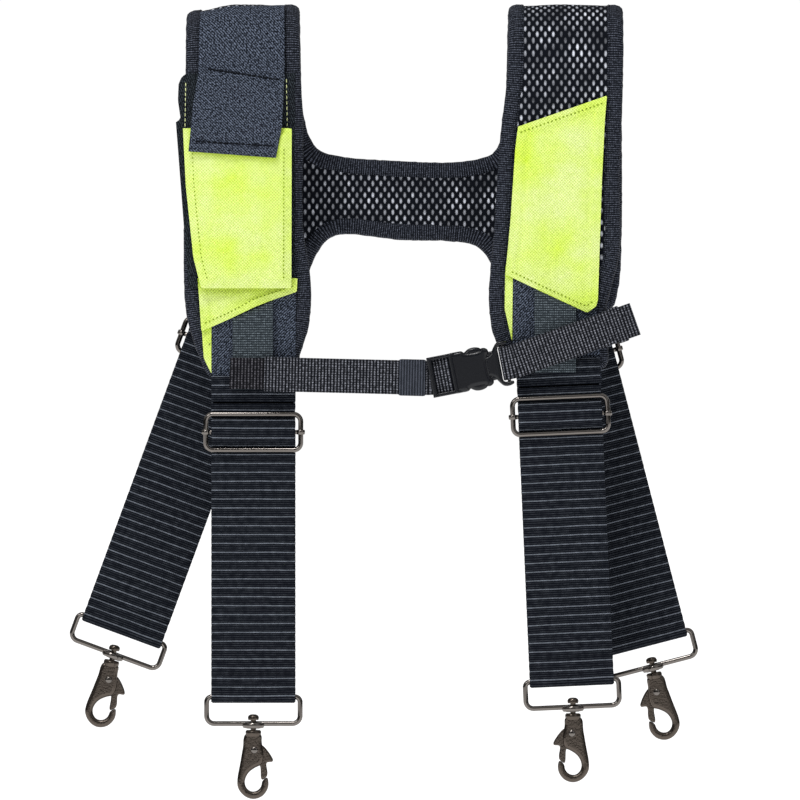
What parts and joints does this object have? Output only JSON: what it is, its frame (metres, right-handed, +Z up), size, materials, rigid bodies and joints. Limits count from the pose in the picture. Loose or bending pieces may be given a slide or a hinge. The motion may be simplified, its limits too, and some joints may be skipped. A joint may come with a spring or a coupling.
{
  "type": "tool belt suspender harness",
  "caption": "Padded H-shaped shoulder harness for a tool belt: a flapped phone pocket, a buckled chest strap, and webbing legs with sliders, rings and swivel trigger hooks.",
  "frame": {"origin": "inner top of the shoulder folds, midway between the two pads, where the shoulders carry the harness", "axes": "+Z up, the front with the pocket and the chest strap faces -Y, and +X is to the right as seen from the front"},
  "size_m": [0.3704, 0.0772, 0.4669],
  "materials": {
    "air_mesh": "black spacer mesh with oval holes",
    "binding": "black woven edge tape with a slight sheen",
    "buckle": "satin black moulded plastic",
    "chest_webbing": "black dotted-weave webbing",
    "elastic": "dark grey knitted elastic",
    "foam": "soft closed-cell foam inside the covers",
    "hi_vis": "high-visibility yellow-green woven canvas",
    "leg_webbing": "black ribbed webbing",
    "metal": "polished black-nickel plate",
    "rail_webbing": "grey ribbed webbing",
    "twill": "dark grey heavy twill"
  },
  "bodies": {
    "yoke": {"yoke_foam": "foam", "yoke_outer_cover": "air_mesh", "yoke_inner_cover": "air_mesh", "edge_binding": "binding", "left_hi_vis_panel": "hi_vis", "right_hi_vis_panel": "hi_vis", "left_twill_tab": "twill", "right_twill_tab": "twill", "left_rail": "rail_webbing", "right_rail": "rail_webbing", "pocket_back": "twill", "pocket_body": "hi_vis", "pocket_flap_base": "twill", "chest_strap_left": "chest_webbing", "chest_keeper_left": "elastic", "chest_strap_right": "chest_webbing", "chest_keeper_right": "elastic", "buckle_female": "buckle", "buckle_male": "buckle"},
    "flap": {"pocket_flap": "twill"},
    "upper_latch": {"upper_prong": "buckle"},
    "lower_latch": {"lower_prong": "buckle"},
    "front_left_leg": {"front_left_leg_strap": "leg_webbing"},
    "front_left_adjuster": {"front_left_slider_frame": "metal", "front_left_slider_bar": "metal", "front_left_slider_turn": "leg_webbing"},
    "front_left_drop": {"front_left_leg_loop": "leg_webbing"},
    "front_left_link": {"front_left_ring": "metal"},
    "front_left_hook": {"front_left_hook_body": "metal", "front_left_gate_rivet": "metal"},
    "front_left_trigger": {"front_left_gate": "metal"},
    "front_right_leg": {"front_right_leg_strap": "leg_webbing"},
    "front_right_adjuster": {"front_right_slider_frame": "metal", "front_right_slider_bar": "metal", "front_right_slider_turn": "leg_webbing"},
    "front_right_drop": {"front_right_leg_loop": "leg_webbing"},
    "front_right_link": {"front_right_ring": "metal"},
    "front_right_hook": {"front_right_hook_body": "metal", "front_right_gate_rivet": "metal"},
    "front_right_trigger": {"front_right_gate": "metal"},
    "rear_left_leg": {"rear_left_leg_strap": "leg_webbing"},
    "rear_left_adjuster": {"rear_left_slider_frame": "metal", "rear_left_slider_bar": "metal", "rear_left_slider_turn": "leg_webbing"},
    "rear_left_drop": {"rear_left_leg_loop": "leg_webbing"},
    "rear_left_link": {"rear_left_ring": "metal"},
    "rear_left_hook": {"rear_left_hook_body": "metal", "rear_left_gate_rivet": "metal"},
    "rear_left_trigger": {"rear_left_gate": "metal"},
    "rear_right_leg": {"rear_right_leg_strap": "leg_webbing"},
    "rear_right_adjuster": {"rear_right_slider_frame": "metal", "rear_right_slider_bar": "metal", "rear_right_slider_turn": "leg_webbing"},
    "rear_right_drop": {"rear_right_leg_loop": "leg_webbing"},
    "rear_right_link": {"rear_right_ring": "metal"},
    "rear_right_hook": {"rear_right_hook_body": "metal", "rear_right_gate_rivet": "metal"},
    "rear_right_trigger": {"rear_right_gate": "metal"}
  },
  "joints": [
    {"name": "pocket_flap_hinge", "type": "hinge", "parent": "yoke", "child": "flap", "pos_m": [-0.09555, -0.0342, -0.03296], "axis": [-1, 0, 0], "range_deg": [0, 120]},
    {"name": "upper_prong_flex", "type": "hinge", "parent": "yoke", "child": "upper_latch", "pos_m": [0.05282, -0.03705, -0.19619], "axis": [0, -1, 0], "range_deg": [0, 9.5], "stiffness_Nm_per_rad": 0.2},
    {"name": "lower_prong_flex", "type": "hinge", "parent": "yoke", "child": "lower_latch", "pos_m": [0.05541, -0.03705, -0.20954], "axis": [0, 1, 0], "range_deg": [0, 9.5], "stiffness_Nm_per_rad": 0.2},
    {"name": "front_left_fold", "type": "hinge", "parent": "yoke", "child": "front_left_leg", "pos_m": [-0.0886, -0.03255, -0.2255], "axis": [-1, 0, 0], "range_deg": [-3, 80]},
    {"name": "front_left_slider_slide", "type": "slide", "parent": "front_left_leg", "child": "front_left_adjuster", "axis": [0, 0, -1], "range_m": [0, 0.12]},
    {"name": "front_left_loop_slide", "type": "slide", "parent": "front_left_leg", "child": "front_left_drop", "axis": [0, 0, -1], "range_m": [0, 0.06]},
    {"name": "front_left_ring_hinge", "type": "hinge", "parent": "front_left_drop", "child": "front_left_link", "pos_m": [-0.0886, -0.03135, -0.3971], "axis": [-1, 0, 0], "range_deg": [-90, 90]},
    {"name": "front_left_hook_swivel", "type": "hinge", "parent": "front_left_link", "child": "front_left_hook", "pos_m": [-0.0886, -0.03135, -0.4137], "axis": [0, 0, -1], "continuous": true},
    {"name": "front_left_gate_pivot", "type": "hinge", "parent": "front_left_hook", "child": "front_left_trigger", "pos_m": [-0.088, -0.03135, -0.4282], "axis": [0, 1, 0], "range_deg": [0, 25], "stiffness_Nm_per_rad": 0.05, "springref_deg": -5.73},
    {"name": "front_right_fold", "type": "hinge", "parent": "yoke", "child": "front_right_leg", "pos_m": [0.0902, -0.03255, -0.2156], "axis": [-0.999, 0, -0.0436], "range_deg": [-3, 80]},
    {"name": "front_right_slider_slide", "type": "slide", "parent": "front_right_leg", "child": "front_right_adjuster", "axis": [0.0436, 0, -0.999], "range_m": [0, 0.12]},
    {"name": "front_right_loop_slide", "type": "slide", "parent": "front_right_leg", "child": "front_right_drop", "axis": [0.0436, 0, -0.999], "range_m": [0, 0.06]},
    {"name": "front_right_ring_hinge", "type": "hinge", "parent": "front_right_drop", "child": "front_right_link", "pos_m": [0.0977, -0.03135, -0.38734], "axis": [-0.999, 0, -0.0436], "range_deg": [-90, 90]},
    {"name": "front_right_hook_swivel", "type": "hinge", "parent": "front_right_link", "child": "front_right_hook", "pos_m": [0.09842, -0.03135, -0.40392], "axis": [0, 0, -1], "continuous": true},
    {"name": "front_right_gate_pivot", "type": "hinge", "parent": "front_right_hook", "child": "front_right_trigger", "pos_m": [0.09782, -0.03135, -0.41842], "axis": [0, -1, 0], "range_deg": [0, 25], "stiffness_Nm_per_rad": 0.05, "springref_deg": -5.73},
    {"name": "rear_left_fold", "type": "hinge", "parent": "yoke", "child": "rear_left_leg", "pos_m": [-0.0999, 0.0267, -0.1776], "axis": [0.9385, 0, -0.3453], "range_deg": [-3, 75]},
    {"name": "rear_left_slider_slide", "type": "slide", "parent": "rear_left_leg", "child": "rear_left_adjuster", "axis": [-0.3453, 0, -0.9385], "range_m": [0, 0.12]},
    {"name": "rear_left_loop_slide", "type": "slide", "parent": "rear_left_leg", "child": "rear_left_drop", "axis": [-0.3453, 0, -0.9385], "range_m": [0, 0.06]},
    {"name": "rear_left_ring_hinge", "type": "hinge", "parent": "rear_left_drop", "child": "rear_left_link", "pos_m": [-0.16651, 0.0255, -0.35863], "axis": [0.9385, 0, -0.3453], "range_deg": [-90, 90]},
    {"name": "rear_left_hook_swivel", "type": "hinge", "parent": "rear_left_link", "child": "rear_left_hook", "pos_m": [-0.17224, 0.0255, -0.37421], "axis": [-0.2079, 0, -0.9781], "continuous": true},
    {"name": "rear_left_gate_pivot", "type": "hinge", "parent": "rear_left_hook", "child": "rear_left_trigger", "pos_m": [-0.17467, 0.0255, -0.38852], "axis": [0, 1, 0], "range_deg": [0, 25], "stiffness_Nm_per_rad": 0.05, "springref_deg": -5.73},
    {"name": "rear_right_fold", "type": "hinge", "parent": "yoke", "child": "rear_right_leg", "pos_m": [0.0953, 0.0267, -0.1838], "axis": [0.9681, 0, 0.2504], "range_deg": [-3, 75]},
    {"name": "rear_right_slider_slide", "type": "slide", "parent": "rear_right_leg", "child": "rear_right_adjuster", "axis": [0.2504, 0, -0.9681], "range_m": [0, 0.12]},
    {"name": "rear_right_loop_slide", "type": "slide", "parent": "rear_right_leg", "child": "rear_right_drop", "axis": [0.2504, 0, -0.9681], "range_m": [0, 0.06]},
    {"name": "rear_right_ring_hinge", "type": "hinge", "parent": "rear_right_drop", "child": "rear_right_link", "pos_m": [0.14227, 0.0255, -0.36542], "axis": [0.9681, 0, 0.2504], "range_deg": [-90, 90]},
    {"name": "rear_right_hook_swivel", "type": "hinge", "parent": "rear_right_link", "child": "rear_right_hook", "pos_m": [0.14643, 0.0255, -0.3815], "axis": [0.1908, 0, -0.9816], "continuous": true},
    {"name": "rear_right_gate_pivot", "type": "hinge", "parent": "rear_right_hook", "child": "rear_right_trigger", "pos_m": [0.1486, 0.0255, -0.39584], "axis": [0, -1, 0], "range_deg": [0, 25], "stiffness_Nm_per_rad": 0.05, "springref_deg": -5.73}
  ],
  "couplings": [
    {"joint": "lower_prong_flex", "follows": "upper_prong_flex", "ratio": 1},
    {"joint": "front_left_loop_slide", "follows": "front_left_slider_slide", "ratio": 0.5},
    {"joint": "front_right_loop_slide", "follows": "front_right_slider_slide", "ratio": 0.5},
    {"joint": "rear_left_loop_slide", "follows": "rear_left_slider_slide", "ratio": 0.5},
    {"joint": "rear_right_loop_slide", "follows": "rear_right_slider_slide", "ratio": 0.5}
  ]
}
